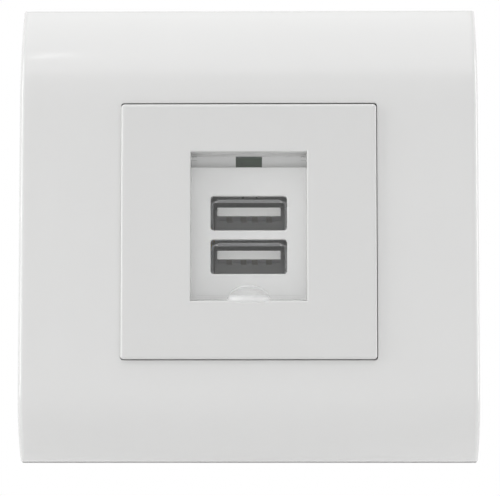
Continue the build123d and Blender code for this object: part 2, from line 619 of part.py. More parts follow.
flange_x = span(TRANSFORMER_WIDTH - CORE_LEG - 2 * CORE_PLAY, transformer_x)
flange_forward = span(TRANSFORMER_DEPTH, transformer_forward)
tube_z = (core_z[0] + yoke + CORE_PLAY, core_z[1] - yoke - CORE_PLAY)
tape_z = (tube_z[0] + BOBBIN_FLANGE, tube_z[1] - BOBBIN_FLANGE)
bore_width = CORE_LEG + 2 * CORE_PLAY
bore_depth = CORE_DEPTH + 2 * CORE_PLAY
tube_x = span(bore_width + 2 * BOBBIN_WALL, transformer_x)
tube_forward = span(bore_depth + 2 * BOBBIN_WALL, transformer_forward)
with BuildPart() as transformer_bobbin:
    block(span(TRANSFORMER_WIDTH, transformer_x), flange_forward, (board_top, core_z[0]))
    block(flange_x, flange_forward, (tube_z[0], tape_z[0]))
    block(flange_x, flange_forward, (tape_z[1], tube_z[1]))
    block(tube_x, tube_forward, tube_z)
    block(span(bore_width, transformer_x), span(bore_depth, transformer_forward), tube_z, Mode.SUBTRACT)
    foot_depth = (TRANSFORMER_DEPTH - bore_depth) / 2
    for side in (-1, 1):
        foot_forward = transformer_forward + side * (bore_depth + foot_depth) / 2
        block(flange_x, span(foot_depth, foot_forward), (core_z[0], tape_z[0]))
    post(bobbin_pins, board_bottom - PIN_TAIL, board_top, PIN_RADIUS)

with BuildPart() as transformer_winding:
    tape_width = flange_x[1] - flange_x[0] - 2 * WINDING_INSET
    tape_depth = TRANSFORMER_DEPTH - 2 * WINDING_INSET
    block(span(tape_width, transformer_x), span(tape_depth, transformer_forward), tape_z)
    fillet(transformer_winding.edges().filter_by(Axis.Z), WINDING_ROUND)
    block(tube_x, tube_forward, tape_z, Mode.SUBTRACT)


def capacitor(x, forward, diameter, height):
    """Upright can with a rounded top and two leads through the board."""
    with BuildPart() as can:
        post([(x, forward)], board_top, board_top + height, diameter / 2)
        fillet(can.edges().sort_by(Axis.Z)[-1], CAN_ROUND)
        leads = [(x - CAN_LEAD_PITCH / 2, forward), (x + CAN_LEAD_PITCH / 2, forward)]
        post(leads, board_bottom - PIN_TAIL, board_top, PIN_RADIUS)
    return can


bulk_capacitor_1, bulk_capacitor_2 = [
    capacitor(*place, BULK_DIAMETER, BULK_HEIGHT) for place in bulk_places]
output_capacitor_1, output_capacitor_2 = [
    capacitor(*place, OUTPUT_DIAMETER, OUTPUT_HEIGHT) for place in output_places]

# Film capacitor: moulded box on two leads
with BuildPart() as film_capacitor:
    block(span(FILM_WIDTH, film_x), span(FILM_LENGTH, film_forward), (board_top, board_top + FILM_HEIGHT))
    fillet(film_capacitor.edges().filter_by(Axis.Z), CAN_ROUND)
    post(film_pins, board_bottom - PIN_TAIL, board_top, PIN_RADIUS)

# Choke: drum core with a winding between its flanges
choke_top = board_top + CHOKE_HEIGHT
choke_waist_radius = CHOKE_DIAMETER / 4
choke_windows = (board_top + CHOKE_FLANGE, choke_top - CHOKE_FLANGE)
with BuildPart() as choke_core:
    post(choke_place, board_top, choke_windows[0], CHOKE_DIAMETER / 2)
    post(choke_place, choke_windows[0], choke_windows[1], choke_waist_radius)
    post(choke_place, choke_windows[1], choke_top, CHOKE_DIAMETER / 2)
with BuildPart() as choke_winding:
    post(choke_place, *choke_windows, (CHOKE_DIAMETER - CHOKE_WAIST) / 2)
    post(choke_place, *choke_windows, choke_waist_radius, Mode.SUBTRACT)


def under_board(size, x, forward):
    """Surface-mounted part on the board's underside."""
    with BuildPart() as chip:
        block(span(size[0], x), span(size[1], forward), (board_bottom - size[2], board_bottom))
        fillet(chip.edges().group_by(Axis.Z)[0], RAIL_GAP)
    return chip


under_forward = board_front - UNDER_INSET
bridge_rectifier = under_board(BRIDGE_SIZE, UNDER_PITCH, under_forward)
controller_chip = under_board(CHIP_SIZE, 0, under_forward)
output_diode = under_board(DIODE_SIZE, -UNDER_PITCH, under_forward)

# Indicator lamp: rectangular body with a base flange and two leads bent down to the board
with BuildPart() as indicator_lamp:
    block(span(LAMP_WIDTH), (lamp_back, lamp_front), span(LAMP_HEIGHT, lamp_height))
    block(span(LAMP_WIDTH + LAMP_FLANGE), (lamp_back, lamp_back + LAMP_FLANGE_THICKNESS),
          span(LAMP_HEIGHT + LAMP_FLANGE, lamp_height))
    for x, forward in lead_places:
        lead_x = span(LAMP_LEAD, x)
        drop = span(LAMP_LEAD, forward)
        block(lead_x, (drop[0], lamp_back), span(LAMP_LEAD, lamp_height))
        block(lead_x, drop, (board_bottom - PIN_TAIL, lamp_height))

# Terminal block: body under the board, open at the back for two clamp cages
with BuildPart() as terminal_block:
    block(span(TERMINAL_WIDTH, aisle_x), (terminal_back, terminal_front), (terminal_low, board_bottom))
    for x in pole_offsets:
        pocket = (terminal_back, cage_forward + CAGE_LENGTH / 2 + CAGE_GAP)
        pocket_z = (cage_low - CAGE_GAP, board_bottom)
        block(span(CAGE_WIDTH + 2 * CAGE_GAP, x), pocket, pocket_z, Mode.SUBTRACT)
    post(pole_pins, terminal_low, cage_low, HEAD_RADIUS + HEAD_GAP, Mode.SUBTRACT)


def clamp_cage(x):
    """Brass cage with a wire bore along Y, a threaded bore up to it and a pin into the board."""
    with BuildPart() as cage:
        block(span(CAGE_WIDTH, x), span(CAGE_LENGTH, cage_forward), (cage_low, cage_top))
        with BuildSketch(facing(cage_forward - CAGE_LENGTH / 2)):
            with Locations((x, wire_height)):
                Circle(WIRE_RADIUS)
        extrude(amount=CAGE_LENGTH, mode=Mode.SUBTRACT)
        post([(x, cage_forward)], cage_low, wire_height, CLAMP_RADIUS, Mode.SUBTRACT)
        post([(x, cage_forward)], cage_top, board_top + PIN_TAIL, PIN_RADIUS)
    return cage


terminal_cage_left, terminal_cage_right = [clamp_cage(x) for x in pole_offsets]

# Clamp screws, two alike: slotted head and a plain shank that stops short of the wire bore
with BuildPart() as terminal_screws:
    shank_top = wire_height - WIRE_RADIUS - CLAMP_TIP_GAP
    head_top = cage_low - CAGE_GAP
    head_low = head_top - HEAD_HEIGHT
    post(pole_pins, head_low, head_top, HEAD_RADIUS)
    post(pole_pins, head_top, shank_top, CLAMP_RADIUS - CLAMP_GAP)
    for x in pole_offsets:
        block(span(HEAD_SLOT, x), span(2 * HEAD_RADIUS, cage_forward),
              (head_low, head_low + HEAD_SLOT_DEPTH), Mode.SUBTRACT)

pieces = {
    "cover_plate": cover_plate,
    "mounting_frame": mounting_frame,
    "module_front": module_front,
    "dust_cover": dust_cover,
    "indicator_lamp": indicator_lamp,
    "usb_shell_upper": usb_shell_upper,
    "usb_shell_lower": usb_shell_lower,
    "usb_insulator": usb_insulator,
    "usb_contacts_upper": usb_contacts_upper,
    "usb_contacts_lower": usb_contacts_lower,
    "rear_housing": rear_housing,
    "main_board": main_board,
    "transformer_core": transformer_core,
    "transformer_bobbin": transformer_bobbin,
    "transformer_winding": transformer_winding,
    "bulk_capacitor_1": bulk_capacitor_1,
    "bulk_capacitor_2": bulk_capacitor_2,
    "output_capacitor_1": output_capacitor_1,
    "output_capacitor_2": output_capacitor_2,
    "film_capacitor": film_capacitor,
    "choke_core": choke_core,
    "choke_winding": choke_winding,
    "bridge_rectifier": bridge_rectifier,
    "controller_chip": controller_chip,
    "output_diode": output_diode,
    "terminal_block": terminal_block,
    "terminal_cage_left": terminal_cage_left,
    "terminal_cage_right": terminal_cage_right,
    "terminal_screws": terminal_screws,
}
for name, piece in pieces.items():
    piece.part.label = name
    export_step(piece.part, f"parts/{name}.step")
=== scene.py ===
# %% [markdown]
# # A USB wall socket
# A square white cover plate holds a charging module with two USB ports behind a clear, hinged
# flap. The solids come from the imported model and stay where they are. This lesson gives each of
# them a finish, and draws anew the few pieces whose soft edges and clear plastic a viewer looks
# at first.

# %% Load the solids
import json
import math

import bpy
import numpy as np
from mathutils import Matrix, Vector


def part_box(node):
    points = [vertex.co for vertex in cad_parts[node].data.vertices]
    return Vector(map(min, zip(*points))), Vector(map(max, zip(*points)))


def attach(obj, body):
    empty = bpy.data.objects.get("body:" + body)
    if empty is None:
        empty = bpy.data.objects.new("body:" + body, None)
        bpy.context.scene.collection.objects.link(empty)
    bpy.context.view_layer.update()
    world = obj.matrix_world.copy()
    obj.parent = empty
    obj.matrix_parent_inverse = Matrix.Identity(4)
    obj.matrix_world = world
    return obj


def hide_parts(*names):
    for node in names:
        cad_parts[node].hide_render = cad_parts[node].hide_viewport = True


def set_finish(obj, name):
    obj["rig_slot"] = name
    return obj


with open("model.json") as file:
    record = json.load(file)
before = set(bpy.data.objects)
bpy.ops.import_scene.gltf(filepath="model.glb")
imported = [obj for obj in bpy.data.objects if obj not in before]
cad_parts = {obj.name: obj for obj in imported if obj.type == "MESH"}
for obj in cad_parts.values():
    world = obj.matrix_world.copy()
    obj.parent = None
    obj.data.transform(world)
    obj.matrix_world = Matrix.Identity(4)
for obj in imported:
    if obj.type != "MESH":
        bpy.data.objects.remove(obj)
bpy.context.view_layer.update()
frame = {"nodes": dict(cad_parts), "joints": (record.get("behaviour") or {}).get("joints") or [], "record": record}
nodes = frame["nodes"]
MM = 0.001

# %% [markdown]
# ## From formulas to meshes
# A moulded surface is easiest to describe as a formula of two parameters. Blender could model it
# by hand with loop cuts and bevels, but a grid of points worked out by numpy keeps every radius
# exact. A few small helpers turn such a grid into an object: one joins neighbouring points by
# four-sided faces, one welds points that fall together, one tells the inside from the outside,
# and one makes the mesh and puts it on its body.

# %% Grid helpers
WELD = 2e-7
CREASE = math.radians(32)


def grid_faces(rows, columns, closed_rows=False, closed_columns=False):
    """Quads of a grid: each joins a point to the next in its row and to the row after it."""
    i = np.arange(rows if closed_rows else rows - 1)
    j = np.arange(columns if closed_columns else columns - 1)
    i, j = np.meshgrid(i, j, indexing="ij")
    after_i = (i + 1) % rows
    after_j = (j + 1) % columns
    corners = [i * columns + j, after_i * columns + j,
               after_i * columns + after_j, i * columns + after_j]
    return np.stack(corners, -1).reshape(-1, 4)


def weld(points, faces):
    """Points within a fifth of a micron become one; quads that lose a side shrink or go."""
    keys = np.round(points / WELD).astype(np.int64)
    _, first, same = np.unique(keys, axis=0, return_index=True, return_inverse=True)
    faces = same.reshape(-1)[faces]
    lost = faces == np.roll(faces, -1, axis=1)
    folded = (faces[:, 0] == faces[:, 2]) | (faces[:, 1] == faces[:, 3])
    whole = (lost.sum(1) == 0) & ~folded
    short = (lost.sum(1) == 1) & ~folded
    triangles = faces[short][~lost[short]].reshape(-1, 3)
    return points[first], faces[whole], triangles


def enclosed(points, quads, triangles):
    """Volume inside a closed mesh: the sum of the tetrahedra from the origin to each triangle."""
    fans = np.concatenate([quads[:, [0, 1, 2]], quads[:, [0, 2, 3]], triangles])
    a, b, c = (points[fans[:, k]] for k in range(3))
    return float(np.einsum("ij,ij->i", a, np.cross(b, c)).sum() / 6)


def new_piece(name, points, faces, body, stands_for, slot):
    """One object at the origin: welded, turned outwards, smooth but for its creases, on a body."""
    points, quads, triangles = weld(points.reshape(-1, 3), faces)
    volume = enclosed(points, quads, triangles)
    step = 1 if volume > 0 else -1
    mesh = bpy.data.meshes.new(name)
    mesh.from_pydata(points.tolist(), [], quads[:, ::step].tolist() + triangles[:, ::step].tolist())
    mesh.polygons.foreach_set("use_smooth", np.ones(len(mesh.polygons), bool))
    mesh.set_sharp_from_angle(angle=CREASE)
    piece = bpy.data.objects.new(name, mesh)
    bpy.context.scene.collection.objects.link(piece)
    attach(piece, body)
    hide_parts(stands_for)
    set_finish(piece, slot)
    print(name, len(points), "points,", round(abs(volume) / MM**3, 1), "cubic mm")
    return piece


print("creases are edges that turn by more than", round(math.degrees(CREASE)), "degrees")

# %% [markdown]
# ## Cover plate
# The plate is one thin white shell. Its front is flat behind the module and curves back in a
# circle at the top and, more tightly, at the bottom. Every outline of it, from the opening to the
# outer edge and back along the inside, is a square with rounded corners, so the plate is a pile
# of such squares of different sizes, and a height formula gives each point its distance from the
# wall. The plate sits a hair off centre, so the gap beside the module is closed at the left and
# open at the right.

# %% Squares with rounded corners
SIDE_STEPS = 112
CORNER_STEPS = 6


def square_pattern():
    """Unit square and outward direction at each step round it: each side, then its corner."""
    along = np.linspace(-1, 1, SIDE_STEPS + 1)
    turn = np.linspace(0, np.pi / 2, CORNER_STEPS + 1)[1:-1]
    places, outward = [], []
    for side in range(4):
        angle = side * np.pi / 2
        normal = np.array([np.cos(angle), np.sin(angle)])
        ahead = np.array([-np.sin(angle), np.cos(angle)])
        corner = np.stack([np.cos(angle + turn), np.sin(angle + turn)], 1)
        places += [normal + along[:, None] * ahead, np.tile(normal + ahead, (len(turn), 1))]
        outward += [np.tile(normal, (len(along), 1)), corner]
    return np.concatenate(places), np.concatenate(outward)


square_place, square_outward = square_pattern()


def squares(half, corner):
    """Loops of x and z: a smaller square's place, carried outwards by the corner's radius."""
    half = np.asarray(half, float)[:, None, None]
    corner = np.asarray(corner, float)[:, None, None]
    return (half - corner) * square_place + corner * square_outward


def quarter(steps):
    """Share of a quarter circle's radius, as (inset, fall), from its flat end to its steep end."""
    angle = np.linspace(0, np.pi / 2, steps)
    return 1 - np.sin(angle), 1 - np.cos(angle)


print(len(square_place), "points in each square")

# %% The plate's height over the wall
plate_low, plate_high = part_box("cover_plate")
PLATE_HALF = plate_high.x
PLATE_FRONT = -plate_low.y
PLATE_EDGE = 4.0 * MM
PLATE_WALL = 2.0 * MM
TOP_SWEEP = 18.0 * MM
BOTTOM_SWEEP = 12.0 * MM
SIDE_ROUND = 1.2 * MM
END_ROUND = 0.5 * MM


def sweep_radius(length):
    """Radius of the arc that leaves the flat front and falls to the edge over a length."""
    fall = PLATE_FRONT - PLATE_EDGE
    return (length**2 + fall**2) / (2 * fall)


def swept_front(z, inset=0.0):
    """Flat in the middle; beyond it circles tangent to the flat, all drawn in by an inset."""
    up = np.clip(z - (PLATE_HALF - TOP_SWEEP), 0, None)
    down = np.clip(BOTTOM_SWEEP - PLATE_HALF - z, 0, None)
    top = sweep_radius(TOP_SWEEP) - inset
    low = sweep_radius(BOTTOM_SWEEP) - inset
    fall_up = top - np.sqrt(top**2 - up**2)
    fall_down = low - np.sqrt(low**2 - down**2)
    return PLATE_FRONT - inset - fall_up - fall_down


def rounded_fall(inset, radius):
    """How far a rounded edge has fallen at an inset from it: a quarter circle."""
    reach = radius - np.clip(inset, 0, radius)
    return radius - np.sqrt(radius**2 - reach**2)


def plate_face(x, z):
    """Swept front, less the rounding along the sides or the ends, whichever is deeper."""
    side = rounded_fall(PLATE_HALF - np.abs(x), SIDE_ROUND)
    end = rounded_fall(PLATE_HALF - np.abs(z), END_ROUND)
    return swept_front(z) - np.maximum(side, end)


print("sweep radii in mm", [round(sweep_radius(s) / MM, 1) for s in (TOP_SWEEP, BOTTOM_SWEEP)])

# %% [markdown]
# The lower edge shows one thin grey line from in front. A shallow groove gives it: the lower wall
# is set back a little, and a rim at the wall leans forward under it, so the rim lies in the shade.
# Raising the lower half of the outer squares makes the room for it, with no other piece needed.

# %% The cover plate
OUTER_CORNER = 0.3 * MM
INNER_CORNER = 0.5 * MM
BACK_ROUND = 0.25 * MM
FOOT_STEP = 0.2 * MM
FOOT_REACH = 6.0 * MM
FOOT_RIM = 1.2 * MM
FOOT_GROOVE = 0.3 * MM
FOOT_STRIP = 0.05 * MM
OPENING_HALF = 22.38 * MM
OPENING_ROUND = 0.1 * MM
OPENING_SHIFT = (0.0575 * MM, 0.06 * MM)
OPENING_TRIM = (-0.1175 * MM, 0.0)
COLLAR_WALL = 1.5 * MM
COLLAR_DEPTH = 3.5 * MM
FACE_LOOPS = 36
EDGE_LOOPS = 14
ROUND_LOOPS = 5
WALL_LOOPS = 8


def plate_loops():
    """All the plate's loops in order round its section, as half sizes, corner radii and heights."""
    inset, fall = quarter(ROUND_LOOPS)
    share = np.linspace(0, 1, FACE_LOOPS)
    ladder = SIDE_ROUND * (1 - np.sin(np.linspace(0, np.pi / 2, EDGE_LOOPS)))
    down = np.linspace(1, 0, WALL_LOOPS)[1:]
    face_start = OPENING_HALF + OPENING_ROUND
    face_end = PLATE_HALF - SIDE_ROUND
    inside = PLATE_HALF - PLATE_WALL
    collar = OPENING_HALF + COLLAR_WALL
    collar_end = PLATE_FRONT - PLATE_WALL - COLLAR_DEPTH
    loops = []

    def add(half, corner, height, lift=0.0):
        """Loops that shift with the opening when near it; a lift draws their lower side up."""
        half = np.atleast_1d(half)
        flat = squares(half, np.broadcast_to(corner, half.shape))
        near = np.clip((face_end - half) / (face_end - collar), 0, 1)
        flat = flat + near[:, None, None] * (OPENING_SHIFT + OPENING_TRIM * square_place)
        x, z = flat[..., 0], flat[..., 1]
        raised = np.reshape(lift, (-1, 1)) * FOOT_STEP * np.clip(-square_place[:, 1], 0, 1)
        loops.append(np.stack([x, -height(x, z), z + raised], -1))

    def level(forward):
        """The same height all round a loop."""
        return lambda x, z: np.broadcast_to(np.reshape(forward, (-1, 1)), x.shape)

    def inner(x, z):
        """The front's inner face, a wall's thickness behind it."""
        return swept_front(z, PLATE_WALL)

    def foot(half):
        """Lift of a loop: full at the outer edge, none beyond a reach from it."""
        return np.clip(1 - (PLATE_HALF - half) / FOOT_REACH, 0, 1)

    opening_fall = OPENING_ROUND * fall[::-1, None]
    add(OPENING_HALF + OPENING_ROUND * inset[::-1], INNER_CORNER,
        lambda x, z: swept_front(z) - opening_fall)
    face = face_start + share[1:] * (face_end - face_start)
    edge = PLATE_HALF - ladder[1:]
    edge_corner = np.linspace(INNER_CORNER, OUTER_CORNER, len(edge))
    add(face, INNER_CORNER, plate_face, foot(face))
    add(edge, edge_corner, plate_face, foot(edge))
    groove = FOOT_RIM + FOOT_STRIP - FOOT_GROOVE * np.clip(-square_outward[:, 1], 0, 1)
    add(np.full(len(down), PLATE_HALF), OUTER_CORNER,
        lambda x, z: groove + down[:, None] * (plate_face(x, z) - groove), 1.0)
    add(PLATE_HALF, OUTER_CORNER, level(FOOT_RIM))
    add(PLATE_HALF - BACK_ROUND * inset[::-1], OUTER_CORNER, level(BACK_ROUND * fall[::-1]))
    add(inside + BACK_ROUND * inset, OUTER_CORNER, level(BACK_ROUND * fall))
    add(inside, OUTER_CORNER, inner)
    add(inside + share[1:] * (collar - inside), INNER_CORNER, inner)
    add(np.array([collar, OPENING_HALF]), INNER_CORNER, level(collar_end))
    return np.concatenate(loops)


plate_points = plate_loops()
plate_faces = grid_faces(*plate_points.shape[:2], closed_rows=True, closed_columns=True)
cover_shell = new_piece("cover_shell", plate_points, plate_faces,
                        "socket", "cover_plate", "plate_white")

# %% [markdown]
# ## Clips behind the plate
# Four hooked legs behind the plate snap over the mounting frame. A leg is a strip whose width
# along the wall is constant and whose thickness changes on the way to its hook, so a ladder of
# rungs from the plate to the tip describes it: each rung is a rectangle, and a small bevel
# softens the edges.

# %% Plate clips
CLIP_WIDTH = 6.0 * MM
CLIP_HEIGHT = 18.0 * MM
CLIP_OUTER = 36.8 * MM
CLIP_INNER = 35.3 * MM
CLIP_NOSE = 34.3 * MM
CLIP_LEAD = 0.6 * MM
CLIP_FOOT = 0.6 * MM
CLIP_CATCH = 2.0 * MM
CLIP_BEVEL = 0.12 * MM
CLIP_SINK = 0.3 * MM
CLIP_ROOT = PLATE_FRONT - PLATE_WALL + CLIP_SINK
BEVEL_STEPS = 2


def clip_ladder(side, height):
    """Rungs from the plate to the tip: straight leg, catch, nose and lead-in, each a rectangle."""
    inner = np.array([CLIP_INNER, CLIP_INNER, CLIP_NOSE, CLIP_NOSE, CLIP_NOSE + CLIP_LEAD])
    forward = np.array([CLIP_ROOT, CLIP_CATCH, CLIP_CATCH, CLIP_FOOT + CLIP_LEAD, CLIP_FOOT])
    outer = np.full(len(inner), CLIP_OUTER)
    across = side * np.stack([inner, outer, outer, inner], 1)
    up = height + CLIP_WIDTH / 2 * np.array([-1, -1, 1, 1])
    return np.stack(np.broadcast_arrays(across, -forward[:, None], up), -1)


def capped_tube(rows, columns):
    """Faces of a four-sided tube with a lid on each end."""
    last = (rows - 1) * columns
    lids = np.array([[3, 2, 1, 0], [last, last + 1, last + 2, last + 3]])
    return np.concatenate([grid_faces(rows, columns, closed_columns=True), lids])


def soften(piece, width):
    """A bevel on the sharp edges, the same on screen and in the render."""
    bevel = piece.modifiers.new("softened edges", "BEVEL")
    bevel.width = width
    bevel.segments = BEVEL_STEPS
    bevel.limit_method = "ANGLE"
    bevel.angle_limit = CREASE


clips = []
for side, side_name in ((-1, "left"), (1, "right")):
    for height, height_name in ((-CLIP_HEIGHT, "lower"), (CLIP_HEIGHT, "upper")):
        ladder = clip_ladder(side, height)
        clip = new_piece(f"plate_clip_{height_name}_{side_name}", ladder,
                         capped_tube(*ladder.shape[:2]), "socket", "cover_plate", "plate_white")
        soften(clip, CLIP_BEVEL)
        clips.append(clip)

# %% [markdown]
# ## Clear dust flap
# The flap is a shallow tray of clear plastic. It turns on two trunnions near its upper edge, and
# a domed finger lip stands at its lower edge. Clear plastic shows every inner face, so pieces
# that merely overlap would look wrong in it. The flap is one closed skin instead: a section in
# height and depth is carried from the left trunnion to the right one, and changes on the way.

# %% Sizes of the flap
flap_low, flap_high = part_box("dust_cover")
hinge = next(joint for joint in frame["joints"] if joint["name"] == "cover_hinge")
HINGE_FORWARD = -hinge["pos_m"][1]
HINGE_HEIGHT = hinge["pos_m"][2]
FLAP_HALF = 9.95 * MM
FLAP_FRONT = 11.55 * MM
FLAP_BACK = 10.35 * MM
FLAP_TOP = flap_high.z
FLAP_BOTTOM = -11.95 * MM
FLANGE_BACK = 9.35 * MM
FLANGE = 0.9 * MM
FLAP_EDGE = 0.2 * MM
TOP_ROUND = 0.25 * MM
TRUNNION = 0.45 * MM
TRUNNION_END = flap_high.x
print("flap", round((FLAP_FRONT - FLAP_BACK) / MM, 2), "mm thick, hinge at",
      round(HINGE_HEIGHT / MM, 2), "mm")

# %% [markdown]
# The finger lip is a quarter of an ellipsoid on the flap's face. Where the two meet, the larger of
# plane and dome would leave a crease, so a smooth maximum runs them together. It is tight at the
# foot, where the photograph shows an edge, and wide at the top, where the lip melts into the flap.

# %% Face of the finger lip
LIP_LOW = flap_low.z
LIP_TIP = -flap_low.y
LIP_RADIUS = 4.0 * MM
LIP_HEIGHT = 3.2 * MM
LIP_AXIS = LIP_TIP - LIP_RADIUS
LIP_FILLET = 0.12 * MM
LIP_MERGE = 0.45 * MM
LIP_MERGE_START = 0.25
LIP_MERGE_SPAN = 0.5


def lip_front(x, z):
    """Larger of the flap's plane and the lip's ellipsoid, run together by a square root."""
    rise = np.clip((z - LIP_LOW) / LIP_HEIGHT, 0, 1)
    dome = LIP_AXIS + np.sqrt(np.clip(LIP_RADIUS**2 * (1 - rise**2) - x**2, 0, None))
    above = dome - FLAP_FRONT
    melt = np.clip((rise - LIP_MERGE_START) / LIP_MERGE_SPAN, 0, 1)
    blend = LIP_FILLET + (LIP_MERGE - LIP_FILLET) * melt
    return np.minimum(FLAP_FRONT + (above + np.sqrt(above**2 + blend**2)) / 2, LIP_TIP)


print("finger lip stands out", round((LIP_TIP - FLAP_FRONT) / MM, 2), "mm")

# %% [markdown]
# A section is put together from straight stretches and quarter turns. All of them have the same
# number of points, so neighbours can be joined point by point. At its lower front edge a section is
# a small round beside the lip, and the lip's step, underside and tip at it. The two forms are mixed
# over a short stretch, which leaves no seam.


# %% Pieces of a section
def strides(count, start=0.0, stop=1.0):
    """Even strides from one value to another, without the first value."""
    return np.linspace(start, stop, count + 1)[1:]


def curve(x, forward, height):
    """Part of every section, from forward distances and heights: one row for each x."""
    forward, height, _ = np.broadcast_arrays(forward, height, x)
    return np.stack([forward, height], -1)


def bend(x, forward, height, radius, start, count):
    """Rounded corner of every section: a quarter turn about a centre, from a start in degrees."""
    angle = np.radians(start + strides(count, 0, 90))
    return curve(x, forward + radius * np.cos(angle), height + radius * np.sin(angle))


print("four strides of a quarter turn end at", strides(4, 0, 90).tolist())

# %% Lower front edge of the flap
LIP_ROOT = 11.95 * MM
LIP_EDGE = 0.3 * MM
LIP_REACH = 3.66 * MM
LIP_BLEND = 0.14 * MM
LIP_SQUARENESS = 4
STEP_POINTS = 4
TIP_POINTS = 7
NOSE_POINTS = 3 * STEP_POINTS + TIP_POINTS


def nose(x, inset):
    """Lower front edge: a small round beside the lip; at it the lip's step, underside and tip."""
    share = strides(STEP_POINTS)
    front = FLAP_FRONT - FLAP_EDGE
    round_beside = bend(x, front, FLAP_BOTTOM + FLAP_EDGE, FLAP_EDGE - inset, -90, NOSE_POINTS)
    deep = np.clip(1 - (x / LIP_REACH) ** LIP_SQUARENESS, 0, 1)
    low = FLAP_BOTTOM - (FLAP_BOTTOM - LIP_LOW) * deep
    tip = np.maximum(lip_front(x, low + LIP_EDGE) - LIP_EDGE, LIP_ROOT)
    lip = np.concatenate([
        curve(x, front + share * (LIP_ROOT - front), FLAP_BOTTOM),
        curve(x, LIP_ROOT, FLAP_BOTTOM + share * (low - FLAP_BOTTOM)),
        curve(x, LIP_ROOT + share * (tip - LIP_ROOT), low),
        bend(x, tip, low + LIP_EDGE, LIP_EDGE, -90, TIP_POINTS)], 1)
    mix = np.clip((LIP_REACH - np.abs(x)) / LIP_BLEND, 0, 1)[..., None]
    return (1 - mix) * round_beside + mix * lip


print(NOSE_POINTS, "points round the lower front edge")

# %% Sections of the flap
PAST_LIP = 0.17
NEAR_TOP = 0.9
LIP_ROWS = 29
FACE_ROWS = 21
TOP_ROWS = 9
CLIMB = np.concatenate([strides(LIP_ROWS, 0, PAST_LIP), strides(FACE_ROWS, PAST_LIP, NEAR_TOP),
                        strides(TOP_ROWS, NEAR_TOP, 1)])
TOP_BEND = 6
TOP_POINTS = 3
BACK_POINTS = 19
HEEL_BEND = 5
SOLE_POINTS = 6


def flap_sections(x, inset, flanged):
    """Closed sections, one for each x: nose, up the front, over the top, down the back, sole."""
    x, inset, flanged = x[:, None], inset[:, None], flanged[:, None]
    lower = nose(x, inset)
    start = lower[:, -1:, 1]
    shoulder = FLAP_TOP - TOP_ROUND
    front_z = start + (shoulder - start) * CLIMB
    back = FLAP_BACK + inset
    flange = FLANGE_BACK + inset
    rear = np.where(flanged, flange, back)
    ledge = FLAP_BOTTOM + FLANGE
    step = strides(STEP_POINTS)
    few = strides(TOP_POINTS)
    under_z = np.where(flanged, HINGE_HEIGHT - inset, HINGE_HEIGHT - step * FLANGE)
    under_end = under_z[:, -1:]
    return np.concatenate([
        lower,
        curve(x, lip_front(x, front_z) - inset, front_z),
        bend(x, FLAP_FRONT - TOP_ROUND, shoulder, TOP_ROUND - inset, 0, TOP_BEND),
        curve(x, strides(TOP_POINTS, FLAP_FRONT - TOP_ROUND, FLAP_BACK + TOP_ROUND),
              FLAP_TOP - inset),
        bend(x, FLAP_BACK + TOP_ROUND, shoulder, TOP_ROUND - inset, 90, TOP_BEND),
        curve(x, back, shoulder + few * (HINGE_HEIGHT - inset - shoulder)),
        curve(x, np.where(flanged, back + step * (flange - back), back), under_z),
        curve(x, rear, under_end + strides(BACK_POINTS) * (ledge - under_end)),
        curve(x, np.where(flanged, flange, back + few * (flange - back)), ledge),
        bend(x, FLANGE_BACK + FLAP_EDGE, FLAP_BOTTOM + FLAP_EDGE, FLAP_EDGE - inset, 180,
             HEEL_BEND),
        curve(x, strides(SOLE_POINTS, FLANGE_BACK + FLAP_EDGE, FLAP_FRONT - FLAP_EDGE),
              FLAP_BOTTOM + inset)], 1)


print(len(CLIMB), "points up the front")

# %% The clear flap
LIP_BESIDE = 4.2 * MM
LIP_COLUMNS = 33
PLAIN_COLUMNS = 8
FLANGE_COLUMNS = 4
EDGE_COLUMNS = 7
TIP_RINGS = 4


def flap_columns():
    """Places of the sections from the middle to the right end, with insets and flange marks."""
    lip = np.linspace(0, LIP_BESIDE, LIP_COLUMNS)
    plain = strides(PLAIN_COLUMNS, LIP_BESIDE, FLAP_HALF - FLANGE)
    side = np.linspace(FLAP_HALF - FLANGE, FLAP_HALF - FLAP_EDGE, FLANGE_COLUMNS)[:-1]
    edge_inset, edge_fall = quarter(EDGE_COLUMNS)
    x = np.concatenate([lip, plain, side, FLAP_HALF - FLAP_EDGE * edge_inset])
    inset = np.concatenate([np.zeros(len(x) - len(edge_fall)), FLAP_EDGE * edge_fall])
    flanged = np.arange(len(x)) >= len(lip) + len(plain)
    return x, inset, flanged


def trunnion_rings(section):
    """Rings of one trunnion from base to tip: each point keeps its direction from the hinge."""
    centre = np.array([HINGE_FORWARD, HINGE_HEIGHT])
    away = section - centre
    away = away / np.linalg.norm(away, axis=-1, keepdims=True)
    inset, fall = quarter(TIP_RINGS)
    radii = np.concatenate([[TRUNNION, TRUNNION], TRUNNION - FLAP_EDGE * fall, [0]])
    reach = np.concatenate([[FLAP_HALF, TRUNNION_END - 2 * FLAP_EDGE],
                            TRUNNION_END - FLAP_EDGE * inset, [TRUNNION_END]])
    return reach, centre + radii[:, None, None] * away


def flap_skin():
    """Grid of the whole flap: the right half's sections and trunnion, and their mirror image."""
    x, inset, flanged = flap_columns()
    sections = flap_sections(x, inset, flanged)
    reach, rings = trunnion_rings(sections[-1])
    x = np.concatenate([x, reach])
    sections = np.concatenate([sections, rings])
    x = np.concatenate([-x[::-1], x[1:]])
    sections = np.concatenate([sections[::-1], sections[1:]])
    across = np.broadcast_to(x[:, None], sections.shape[:2])
    return np.stack([across, -sections[..., 0], sections[..., 1]], -1)


flap_points = flap_skin()
flap_faces = grid_faces(*flap_points.shape[:2], closed_columns=True)
clear_flap = new_piece("clear_flap", flap_points, flap_faces,
                       "dust_cover", "dust_cover", "clear_cover")

